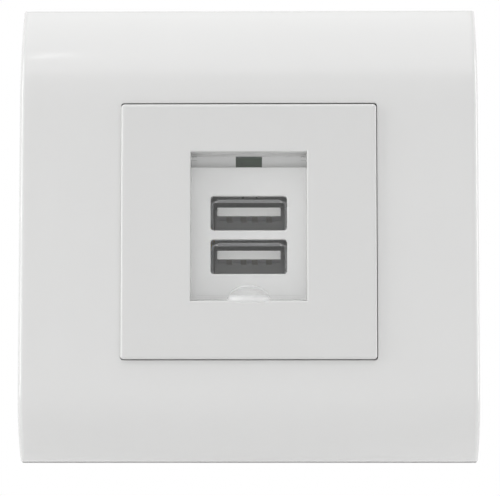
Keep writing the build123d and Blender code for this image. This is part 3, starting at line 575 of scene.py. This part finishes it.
# %% [markdown]
# ## Finishes that share their grain
# Nothing on the socket is one flat colour when seen close: mouldings carry a fine skin and faint
# flow marks, sheet metal shows the lines of its drawing, and what sits in a wall gathers dust.
# Several finishes share these effects, so each is a node group with its own inputs. A group gives
# out only heights, tones and masks, and the shader itself stays in the finish that uses it.

# %% Node helpers
NOISE_LOW = 0.3
NOISE_HIGH = 0.7


def add_node(tree, kind, inputs=None, **settings):
    """A new node, with its settings made and its inputs joined to a socket or set to a value."""
    made = tree.nodes.new(kind)
    for name, value in settings.items():
        setattr(made, name, value)
    for name, value in (inputs or {}).items():
        if isinstance(value, bpy.types.NodeSocket):
            tree.links.new(value, made.inputs[name])
        else:
            made.inputs[name].default_value = value
    return made


def reckon(tree, operation, *values):
    """One step of arithmetic on up to three values, by Blender's own name for it."""
    return add_node(tree, "ShaderNodeMath", dict(enumerate(values)), operation=operation).outputs[0]


def noise(tree, place, scale, detail=2.0):
    """Soft random values from 0 to 1 about a half; the scale is in lumps for each metre."""
    inputs = {"Vector": place, "Scale": scale, "Detail": detail}
    return add_node(tree, "ShaderNodeTexNoise", inputs).outputs[0]


def spread(tree, value, low, high, from_low=NOISE_LOW, from_high=NOISE_HIGH):
    """Carries one range of a value, by default the middle of a noise's, onto another range."""
    inputs = {"Value": value, "From Min": from_low, "From Max": from_high,
              "To Min": low, "To Max": high}
    return add_node(tree, "ShaderNodeMapRange", inputs).outputs["Result"]


def object_place(tree):
    """Coordinates in the piece's own frame, in metres."""
    return add_node(tree, "ShaderNodeTexCoord").outputs["Object"]


def place_axes(tree):
    """The same coordinates, one axis at a time."""
    return add_node(tree, "ShaderNodeSeparateXYZ", {0: object_place(tree)}).outputs


def new_group(name, inputs, outputs):
    """An empty node group with named value sockets; inputs carry their usual values."""
    group = bpy.data.node_groups.new(name, "ShaderNodeTree")
    for label, value in inputs.items():
        socket = group.interface.new_socket(label, in_out="INPUT", socket_type="NodeSocketFloat")
        socket.default_value = value
    for label in outputs:
        group.interface.new_socket(label, in_out="OUTPUT", socket_type="NodeSocketFloat")
    given = group.nodes.new("NodeGroupInput").outputs
    return group, given, group.nodes.new("NodeGroupOutput").inputs


print("a noise is read from", NOISE_LOW, "to", NOISE_HIGH)

# %% Skin and drawing lines
FLOW_MARKS = dict(scale=55.0, detail=4.0)
GLOSS_PATCHES = dict(scale=240.0, detail=3.0)
LINE_STRETCH = (1, 0.03, 1)
LINE_DETAIL = 3.0


def moulded_skin():
    """Fine skin as a height, slow flow marks as a tone about one, gloss patches from 0 to 1."""
    group, given, out = new_group("moulded skin", {"Grains per metre": 4000.0, "Tone": 0.02},
                                  ("Height", "Tone", "Gloss"))
    place = object_place(group)
    flow = spread(group, noise(group, place, **FLOW_MARKS), -1.0, 1.0)
    gloss = spread(group, noise(group, place, **GLOSS_PATCHES), 0.0, 1.0)
    group.links.new(noise(group, place, given["Grains per metre"]), out["Height"])
    group.links.new(reckon(group, "MULTIPLY_ADD", flow, given["Tone"], 1.0), out["Tone"])
    group.links.new(gloss, out["Gloss"])
    return group


def drawn_lines():
    """Fine lines along Y, the way sheet and rod were drawn, as a height and a tone about one."""
    group, given, out = new_group("drawn lines", {"Lines per metre": 9000.0, "Tone": 0.08},
                                  ("Height", "Tone"))
    stretched = add_node(group, "ShaderNodeMapping", {"Vector": object_place(group),
                                                      "Scale": LINE_STRETCH})
    lines = noise(group, stretched.outputs[0], given["Lines per metre"], LINE_DETAIL)
    streak = spread(group, lines, -1.0, 1.0)
    group.links.new(lines, out["Height"])
    group.links.new(reckon(group, "MULTIPLY_ADD", streak, given["Tone"], 1.0), out["Tone"])
    return group


skin_group = moulded_skin()
lines_group = drawn_lines()
print([group.name for group in (skin_group, lines_group)])

# %% Dust and windings
DUST_LYING = dict(low=0.15, high=1.0, from_low=-0.2, from_high=1.0)
DUST_SPECKS = dict(scale=700.0, detail=5.0)
SPECK_RANGE = (0.42, 0.75)
TURN_SHADE = dict(low=0.45, high=1.0, from_low=0.0, from_high=0.6)


def settled_dust():
    """Mask of dust: more on faces that look up, broken up by noise, scaled by an amount."""
    group, given, out = new_group("settled dust", {"Amount": 0.3}, ("Mask",))
    coordinates = add_node(group, "ShaderNodeTexCoord").outputs
    upward = add_node(group, "ShaderNodeSeparateXYZ", {0: coordinates["Normal"]}).outputs["Z"]
    lying = spread(group, upward, **DUST_LYING)
    specks = noise(group, coordinates["Object"], **DUST_SPECKS)
    broken = spread(group, specks, 0.0, 1.0, *SPECK_RANGE)
    both = reckon(group, "MULTIPLY", lying, broken)
    group.links.new(reckon(group, "MULTIPLY", both, given["Amount"]), out["Mask"])
    return group


def wound_turns():
    """Round bands of wire or tape up Z, as a height and a tone, the size of a sine; the tone is painted shade,
    darker in the valleys.
    """
    group, given, out = new_group("wound turns", {"Turns per metre": 3000.0}, ("Height", "Tone"))
    turns = reckon(group, "MULTIPLY", place_axes(group)["Z"], given["Turns per metre"])
    swing = reckon(group, "SINE", reckon(group, "MULTIPLY", turns, math.pi))
    band = reckon(group, "ABSOLUTE", swing)
    group.links.new(band, out["Height"])
    group.links.new(spread(group, band, **TURN_SHADE), out["Tone"])
    return group


dust_group = settled_dust()
turns_group = wound_turns()
print(len(bpy.data.node_groups), "shared effects")

# %% [markdown]
# ## Mouldings
# The plate, the module and most of the inner pieces are moulded plastic. They differ in colour, in
# gloss and in how coarse their skin is, so one function makes them all from a short table. The
# tone multiplies the colour, the gloss patches move the roughness, and dust lies over both where
# the piece sits in the wall. The plate alone is polished: a thin coat over its satin white gives
# the sharp streak of light on its upper sweep, which a smoother white would turn into a mirror.

# %% Helpers of the finishes
DUST_COLOUR = (0.42, 0.40, 0.37, 1.0)
record_colour = {row["slot"]: row["base_color"] for row in frame["record"]["materials"]}


def new_finish(name):
    """An empty material with a shader and its output."""
    material = bpy.data.materials.new(name)
    material.use_nodes = True
    return material, material.node_tree, material.node_tree.nodes["Principled BSDF"]


def use_group(tree, group, **inputs):
    """A copy of a shared effect, with its inputs set by name."""
    made = add_node(tree, "ShaderNodeGroup", node_tree=group)
    for label, value in inputs.items():
        made.inputs[label.replace("_", " ")].default_value = value
    return made.outputs


def tinted(tree, colour, tone):
    """A colour multiplied by a tone."""
    inputs = {0: colour[:3], "Scale": tone}
    return add_node(tree, "ShaderNodeVectorMath", inputs, operation="SCALE").outputs["Vector"]


def dusted(tree, colour, mask):
    """A colour under a film of dust."""
    inputs = {0: mask, 6: colour, 7: DUST_COLOUR}
    return add_node(tree, "ShaderNodeMix", inputs, data_type="RGBA").outputs[2]


def bumped(tree, height, depth):
    """Normals from a height, with the depth of its relief in metres."""
    inputs = {"Height": height, "Distance": depth, "Strength": 1.0}
    return add_node(tree, "ShaderNodeBump", inputs).outputs["Normal"]


print(len(record_colour), "colours in the record")

# %% Plastic finishes
GLOSS_RANGE = (0.85, 1.15)
POLISH_ROUGH = 0.05


def plastic(slot, colour, rough, grains, depth, tone=0.015, dust=0.0, polish=0.0):
    """Moulded plastic: a toned colour, patchy gloss, a fine skin and, if any, dust or polish."""
    material, tree, shader = new_finish(slot)
    skin = use_group(tree, skin_group, Grains_per_metre=grains, Tone=tone)
    base = tinted(tree, colour, skin["Tone"])
    if dust:
        base = dusted(tree, base, use_group(tree, dust_group, Amount=dust)["Mask"])
    gloss = spread(tree, skin["Gloss"], *(rough * share for share in GLOSS_RANGE), 0.0, 1.0)
    tree.links.new(base, shader.inputs["Base Color"])
    tree.links.new(gloss, shader.inputs["Roughness"])
    tree.links.new(bumped(tree, skin["Height"], depth), shader.inputs["Normal"])
    shader.inputs["Coat Weight"].default_value = polish
    shader.inputs["Coat Roughness"].default_value = POLISH_ROUGH
    return material


PLASTICS = {
    "plate_white": dict(colour=(0.72, 0.72, 0.715), rough=0.16, grains=2600.0, depth=0.4e-6,
                        tone=0.004, polish=0.25),
    "module_white": dict(colour=(0.69, 0.69, 0.685), rough=0.2, grains=3200.0, depth=0.6e-6,
                         tone=0.004),
    "insulator_white": dict(colour=(0.87, 0.87, 0.855), rough=0.4, grains=5000.0, depth=2e-6),
    "frame_white": dict(rough=0.5, grains=3000.0, depth=6e-6, dust=0.12),
    "housing_white": dict(rough=0.55, grains=2500.0, depth=8e-6, dust=0.15),
    "bobbin_black": dict(rough=0.45, grains=4000.0, depth=4e-6),
    "can_black": dict(rough=0.28, grains=2500.0, depth=2e-6),
    "film_box": dict(rough=0.35, grains=3500.0, depth=4e-6),
    "chip_black": dict(rough=0.5, grains=6000.0, depth=5e-6),
    "terminal_grey": dict(rough=0.5, grains=3000.0, depth=5e-6, dust=0.1),
    "ferrite": dict(rough=0.7, grains=5000.0, depth=1.5e-5, tone=0.25),
}


def finish_table(make, table):
    """A finish for each row; a row that gives no colour takes the record's."""
    return {slot: make(slot, **{"colour": record_colour[slot], **row})
            for slot, row in table.items()}


finishes = finish_table(plastic, PLASTICS)
print("plastic finishes:", ", ".join(finishes))

# %% [markdown]
# ## Metals
# The port shells are plated sheet, the contacts pale gilt spring strip, the clamps milled brass. A
# metal's colour is its reflection, so the base colour is the metal's own and the drawing lines only
# break it up a little, in tone and in the way the light runs along them. Behind their flared front
# lip and at their sides, a mask on the piece's own coordinates lowers the shells' tone: painted
# shade, which stands in for the shade inside the ports.

# %% Metal finishes
SHELL_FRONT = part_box("usb_shell_upper")[0].y
SHELL_SHADE_DEPTH = (SHELL_FRONT + 0.5 * MM, SHELL_FRONT + 1.0 * MM)
SHELL_SHADE_SIDE = (5.5 * MM, 6.0 * MM)
LINE_ROUGH = (0.8, 1.25)


def painted_port_shade(tree, tone, inner):
    """Painted shade: a tone that falls to an inner share behind the shell's lip and at the shell's sides."""
    axes = place_axes(tree)
    deep = spread(tree, axes["Y"], 1.0, inner, *SHELL_SHADE_DEPTH)
    aside = spread(tree, reckon(tree, "ABSOLUTE", axes["X"]), 1.0, inner, *SHELL_SHADE_SIDE)
    return reckon(tree, "MULTIPLY", tone, reckon(tree, "MINIMUM", deep, aside))


def metal(slot, colour, rough, lines, depth, tone=0.06, inner=None):
    """Metal with fine drawing lines; inside a shell its tone may fall to an inner share, which is painted shade.
    """
    material, tree, shader = new_finish(slot)
    drawn = use_group(tree, lines_group, Lines_per_metre=lines, Tone=tone)
    shade = painted_port_shade(tree, drawn["Tone"], inner) if inner else drawn["Tone"]
    gloss = spread(tree, drawn["Height"], *(rough * share for share in LINE_ROUGH))
    tree.links.new(tinted(tree, colour, shade), shader.inputs["Base Color"])
    tree.links.new(gloss, shader.inputs["Roughness"])
    tree.links.new(bumped(tree, drawn["Height"], depth), shader.inputs["Normal"])
    shader.inputs["Metallic"].default_value = 1.0
    return material


METALS = {
    # The shell's inner share is painted shade inside the ports.
    "shell_steel": dict(colour=(0.56, 0.56, 0.57), rough=0.4, lines=9000.0, depth=1e-6, inner=0.35),
    "contact_gold": dict(colour=(0.72, 0.69, 0.62), rough=0.35, lines=12000.0, depth=0.8e-6),
    "cage_brass": dict(rough=0.32, lines=7000.0, depth=2e-6, tone=0.1),
    "screw_steel": dict(rough=0.34, lines=8000.0, depth=2e-6, tone=0.1),
}
finishes.update(finish_table(metal, METALS))
print("metal finishes:", ", ".join(METALS))

# %% [markdown]
# ## Wound pieces, board and lamp
# Tape and enamelled wire lie in turns, so their finish is a row of round bands, with painted shade
# in the valleys between them. The board's green mask shows its copper tracks as slightly lighter,
# raised lines, which a brick pattern with no two rows alike can stand for. The lamp is a dark green
# lens with a faint inner tone.

# %% Wound finishes
def wound(slot, colour, turns, depth, rough, metallic):
    """Turns of tape or wire: bands with painted shade in the valleys between them."""
    material, tree, shader = new_finish(slot)
    bands = use_group(tree, turns_group, Turns_per_metre=turns)
    tree.links.new(tinted(tree, colour, bands["Tone"]), shader.inputs["Base Color"])
    tree.links.new(bumped(tree, bands["Height"], depth), shader.inputs["Normal"])
    shader.inputs["Roughness"].default_value = rough
    shader.inputs["Metallic"].default_value = metallic
    return material


WINDINGS = {
    "tape_yellow": dict(turns=450.0, depth=4e-5, rough=0.4, metallic=0.0),
    "wire_copper": dict(turns=3300.0, depth=1.2e-4, rough=0.3, metallic=1.0),
}
finishes.update(finish_table(wound, WINDINGS))
print("wound finishes:", ", ".join(WINDINGS))

# %% Board and lamp finishes
BOARD_GRAINS = 5000.0
BOARD_TONE = 0.08
BOARD_ROUGH = 0.3
TRACK_TURN = (0, 0, 0.35)
TRACK_SIZES = {"Scale": 260.0, "Mortar Size": 0.07, "Mortar Smooth": 0.2, "Brick Width": 1.7,
               "Row Height": 0.55}
TRACK_ROWS = dict(offset=0.37, squash=1.6)
TRACK_LIGHT = 1.9
TRACK_RELIEF = 3e-5
LENS_COLOUR = (0.006, 0.038, 0.005)
LENS_GRAINS = 3000.0
LENS_TONE = 0.12
LENS_RELIEF = 1e-6
LENS_ROUGH = 0.4
LENS_SHINE = 0.2


def laminate(slot):
    """Green mask over copper tracks: the joints of a brick pattern, lighter and raised."""
    material, tree, shader = new_finish(slot)
    skin = use_group(tree, skin_group, Grains_per_metre=BOARD_GRAINS, Tone=BOARD_TONE)
    turned = add_node(tree, "ShaderNodeMapping", {"Vector": object_place(tree),
                                                  "Rotation": TRACK_TURN})
    tracks = add_node(tree, "ShaderNodeTexBrick", {"Vector": turned.outputs[0], **TRACK_SIZES},
                      **TRACK_ROWS).outputs["Fac"]
    shade = reckon(tree, "MULTIPLY", spread(tree, tracks, 1.0, TRACK_LIGHT, 0.0, 1.0), skin["Tone"])
    tree.links.new(tinted(tree, record_colour[slot], shade), shader.inputs["Base Color"])
    tree.links.new(bumped(tree, tracks, TRACK_RELIEF), shader.inputs["Normal"])
    shader.inputs["Roughness"].default_value = BOARD_ROUGH
    return material


def lamp_lens(slot):
    """Dark green tinted plastic with a smooth face."""
    material, tree, shader = new_finish(slot)
    skin = use_group(tree, skin_group, Grains_per_metre=LENS_GRAINS, Tone=LENS_TONE)
    tree.links.new(tinted(tree, LENS_COLOUR, skin["Tone"]), shader.inputs["Base Color"])
    tree.links.new(bumped(tree, skin["Height"], LENS_RELIEF), shader.inputs["Normal"])
    shader.inputs["Roughness"].default_value = LENS_ROUGH
    shader.inputs["Specular IOR Level"].default_value = LENS_SHINE
    return material


finishes["board_green"] = laminate("board_green")
finishes["lamp_green"] = lamp_lens("lamp_green")
print(len(finishes), "finishes so far")

# %% [markdown]
# ## Clear plastic
# The flap is clear plastic. A glass-like shader bends the light, and its two smooth faces send
# back a little of the bright room, which is why the dark ports behind it look grey. The light that
# falls on what is behind the flap passes it as it would a clear film, which keeps the window bright
# and free of grain. The finger lip is matt, and whitest at its foot, where fingers wear it: there a
# little white frost is mixed in, by masks on the flap's own depth and height.

# %% Clear finish
CLEAR_INDEX = 1.49
CLEAR_TINT = (0.99, 0.995, 0.995)
CLEAR_FILM = (1.0, 1.0, 1.0, 1.0)
CLEAR_GRAINS = 1800.0
CLEAR_TONE = 0.01
WIPED_ROUGH = 0.035
GRIP_DEPTH = (-FLAP_FRONT - 0.05 * MM, -FLAP_FRONT - 0.4 * MM)
GRIP_ROUGH = 0.15
FROST_COLOUR = (0.85, 0.85, 0.85, 1.0)
FROST_SHARE = (0.5, 0.14)
FROST_HEIGHT = (-11.9 * MM, -10.9 * MM)


def frosted(tree, shader, grip, height):
    """A shader with white frost mixed in where the grip is, less of it further up."""
    fade = spread(tree, height, *FROST_SHARE, *FROST_HEIGHT)
    frost = add_node(tree, "ShaderNodeBsdfDiffuse", {"Color": FROST_COLOUR}).outputs[0]
    inputs = {0: reckon(tree, "MULTIPLY", grip, fade), 1: shader.outputs[0], 2: frost}
    return add_node(tree, "ShaderNodeMixShader", inputs).outputs[0]


def clear_plastic(slot):
    """Clear plastic with faint wiping marks and a frosted lip; light passes it as a clear film."""
    material, tree, shader = new_finish(slot)
    skin = use_group(tree, skin_group, Grains_per_metre=CLEAR_GRAINS, Tone=CLEAR_TONE)
    axes = place_axes(tree)
    grip = spread(tree, axes["Y"], 0.0, 1.0, *GRIP_DEPTH)
    wiped = spread(tree, skin["Gloss"], 0.0, WIPED_ROUGH, 0.0, 1.0)
    rough = reckon(tree, "MULTIPLY_ADD", grip, GRIP_ROUGH, wiped)
    tree.links.new(tinted(tree, CLEAR_TINT, skin["Tone"]), shader.inputs["Base Color"])
    tree.links.new(rough, shader.inputs["Roughness"])
    shader.inputs["Transmission Weight"].default_value = 1.0
    shader.inputs["IOR"].default_value = CLEAR_INDEX
    lip = frosted(tree, shader, grip, axes["Z"])
    film = add_node(tree, "ShaderNodeBsdfTransparent", {"Color": CLEAR_FILM}).outputs[0]
    rays = add_node(tree, "ShaderNodeLightPath").outputs
    lighting = reckon(tree, "MAXIMUM", rays["Is Shadow Ray"], rays["Is Diffuse Ray"])
    either = add_node(tree, "ShaderNodeMixShader", {0: lighting, 1: lip, 2: film}).outputs[0]
    tree.links.new(either, tree.nodes["Material Output"].inputs["Surface"])
    return material


finishes["clear_cover"] = clear_plastic("clear_cover")
print(len(finishes), "finishes")

# %% [markdown]
# ## Hand the finishes out
# Every solid already names the finish it wants in the record, and the new pieces name theirs by
# slot, so the same few lines dress both.

# %% Dress the pieces
slot_of = {row["node"]: row["material_slot"] for row in frame["record"]["subparts"]}


def dress(piece, slot):
    """The piece's only material is the finish of its slot."""
    piece.data.materials.clear()
    piece.data.materials.append(finishes[slot])


for name, solid in nodes.items():
    dress(solid, slot_of[name])
for piece in (cover_shell, clear_flap, *clips):
    dress(piece, piece["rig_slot"])
print(len(nodes), "solids and", 2 + len(clips), "new pieces dressed")

# %% [markdown]
# ## Stage and light
# The socket hangs in a bright white room over a pale floor. The room is white to the camera and in
# reflections, and gives the pieces a soft light that grows towards the ceiling. A wide soft lamp
# stands high in front, a faint one above, and a tall narrow one at each side, which brightens the
# plate's side edges. A thin lamp high in front leaves the one small streak on the top sweep.

# %% Room
ROOM_LIGHT = 0.3
CEILING_LIGHT = 0.55
WHITE = (1, 1, 1, 1)


def seen_rays(tree):
    """One for rays of the camera, of reflections and through clear plastic; nought for others."""
    rays = add_node(tree, "ShaderNodeLightPath").outputs
    first = reckon(tree, "MAXIMUM", rays["Is Camera Ray"], rays["Is Glossy Ray"])
    return reckon(tree, "MAXIMUM", first, rays["Is Transmission Ray"])


def white_room():
    """White where it is seen; its light on the pieces grows from the horizon to the ceiling."""
    world = bpy.data.worlds.new("white room")
    world.use_nodes = True
    tree = world.node_tree
    height = place_axes(tree)["Z"]
    ambient = spread(tree, height, ROOM_LIGHT, ROOM_LIGHT + CEILING_LIGHT, 0.0, 1.0)
    inputs = {0: seen_rays(tree), 2: ambient, 3: 1.0}
    strength = add_node(tree, "ShaderNodeMix", inputs, data_type="FLOAT").outputs[0]
    tree.links.new(strength, tree.nodes["Background"].inputs["Strength"])
    tree.nodes["Background"].inputs["Color"].default_value = WHITE
    bpy.context.scene.world = world


white_room()
print("light at the horizon and overhead", ROOM_LIGHT, ROOM_LIGHT + CEILING_LIGHT)

# %% Floor
FLOOR_HEIGHT = -62.0 * MM
FLOOR_RADIUS = 0.62
FLOOR_FADE = (0.12, 0.5)
FLOOR_COLOUR = (0.93, 0.93, 0.93, 1)
FLOOR_ROUGH = 0.9
FLOOR_RINGS = 9
FLOOR_SPOKES = 96


def floor_disc():
    """Rings of points about the middle, at one height, joined into a disc."""
    turn = np.linspace(0, 2 * np.pi, FLOOR_SPOKES + 1)[:-1]
    rings = np.linspace(0, FLOOR_RADIUS, FLOOR_RINGS)[:, None]
    flat = np.broadcast_arrays(rings * np.cos(turn), rings * np.sin(turn), FLOOR_HEIGHT)
    faces = grid_faces(FLOOR_RINGS, FLOOR_SPOKES, closed_columns=True)
    points, quads, triangles = weld(np.stack(flat, -1).reshape(-1, 3), faces)
    mesh = bpy.data.meshes.new("floor")
    mesh.from_pydata(points.tolist(), [], quads.tolist() + triangles.tolist())
    return mesh


def floor_finish():
    """Pale and matt, so it keeps the shadow; where it is seen it fades to white towards its rim."""
    material, tree, shader = new_finish("pale floor")
    shader.inputs["Base Color"].default_value = FLOOR_COLOUR
    shader.inputs["Roughness"].default_value = FLOOR_ROUGH
    flat = add_node(tree, "ShaderNodeVectorMath", {0: object_place(tree), 1: (1, 1, 0)},
                    operation="MULTIPLY").outputs["Vector"]
    away = add_node(tree, "ShaderNodeVectorMath", {0: flat}, operation="LENGTH").outputs["Value"]
    fade = spread(tree, away, 0.0, 1.0, *FLOOR_FADE)
    share = reckon(tree, "MULTIPLY", fade, seen_rays(tree))
    white = add_node(tree, "ShaderNodeEmission", {"Color": WHITE, "Strength": 1.0}).outputs[0]
    inputs = {0: share, 1: shader.outputs[0], 2: white}
    both = add_node(tree, "ShaderNodeMixShader", inputs).outputs[0]
    tree.links.new(both, tree.nodes["Material Output"].inputs["Surface"])
    return material


floor = bpy.data.objects.new("floor", floor_disc())
floor.data.materials.append(floor_finish())
bpy.context.scene.collection.objects.link(floor)
print("floor", round((plate_low.z - FLOOR_HEIGHT) / MM, 1), "mm below the plate")

# %% Lamps
MODULE_MIDDLE = Vector((0, -PLATE_FRONT, 0))
ENERGY_PER_AREA = 4.0
LAMPS = {
    "front lamp": dict(azimuth=0, elevation=64, distance=1.0, width=1.2, height=1.1, glow=0.78),
    "top lamp": dict(azimuth=0, elevation=96, distance=0.95, width=1.0, height=0.3, glow=0.25),
    "left lamp": dict(azimuth=-76, elevation=10, distance=0.95, width=0.3, height=0.8, glow=3.9),
    "right lamp": dict(azimuth=91, elevation=8, distance=0.95, width=0.3, height=0.8, glow=3.6),
    "highlight lamp": dict(azimuth=-10.9, elevation=49.6, distance=1.026, width=0.01,
                           height=0.085, glow=6.0),
}


def direction(azimuth, elevation):
    """Towards a lamp or camera: degrees of azimuth from straight ahead and of elevation."""
    a, e = math.radians(azimuth), math.radians(elevation)
    return Vector((math.sin(a) * math.cos(e), -math.cos(a) * math.cos(e), math.sin(e)))


def softbox(name, azimuth, elevation, distance, width, height, glow):
    """A soft lamp that faces the socket; its glow is its face's brightness, white being one."""
    back = direction(azimuth, elevation)
    light = bpy.data.lights.new(name, "AREA")
    light.shape = "RECTANGLE"
    light.size = width
    light.size_y = height
    light.energy = ENERGY_PER_AREA * width * height * glow
    lamp = bpy.data.objects.new(name, light)
    lamp.location = MODULE_MIDDLE + back * distance
    lamp.rotation_euler = back.to_track_quat("Z", "Y").to_euler()
    bpy.context.scene.collection.objects.link(lamp)


for name, settings in LAMPS.items():
    softbox(name, **settings)
print(", ".join(LAMPS))

# %% [markdown]
# ## Camera
# The camera looks almost straight at the plate through a long lens, a little from the right, and
# from so far below that it is level with the plate's lower edge. A small shift brings the plate to
# its place in a picture of 500 by 496.

# %% Camera
VIEW_AZIMUTH = 0.6
VIEW_ELEVATION = -5.2
VIEW_DISTANCE = 0.436
VIEW_LENS = 181.0
VIEW_SENSOR = 36.0
VIEW_SHIFT = (0.0026, -0.0334)
VIEW_NEAR = 0.01


def set_camera():
    """Camera on a sphere about the plate's middle, turned to face it."""
    back = direction(VIEW_AZIMUTH, VIEW_ELEVATION)
    lens = bpy.data.cameras.new("camera")
    lens.lens = VIEW_LENS
    lens.sensor_width = VIEW_SENSOR
    lens.shift_x, lens.shift_y = VIEW_SHIFT
    lens.clip_start = VIEW_NEAR
    camera = bpy.data.objects.new("camera", lens)
    camera.location = MODULE_MIDDLE + back * VIEW_DISTANCE
    camera.rotation_euler = (-back).to_track_quat("-Z", "Y").to_euler()
    bpy.context.scene.collection.objects.link(camera)
    bpy.context.scene.camera = camera
    return camera


camera = set_camera()
bpy.context.scene.view_settings.view_transform = "Standard"
print("camera at, in mm,", [round(place / MM, 1) for place in camera.location])
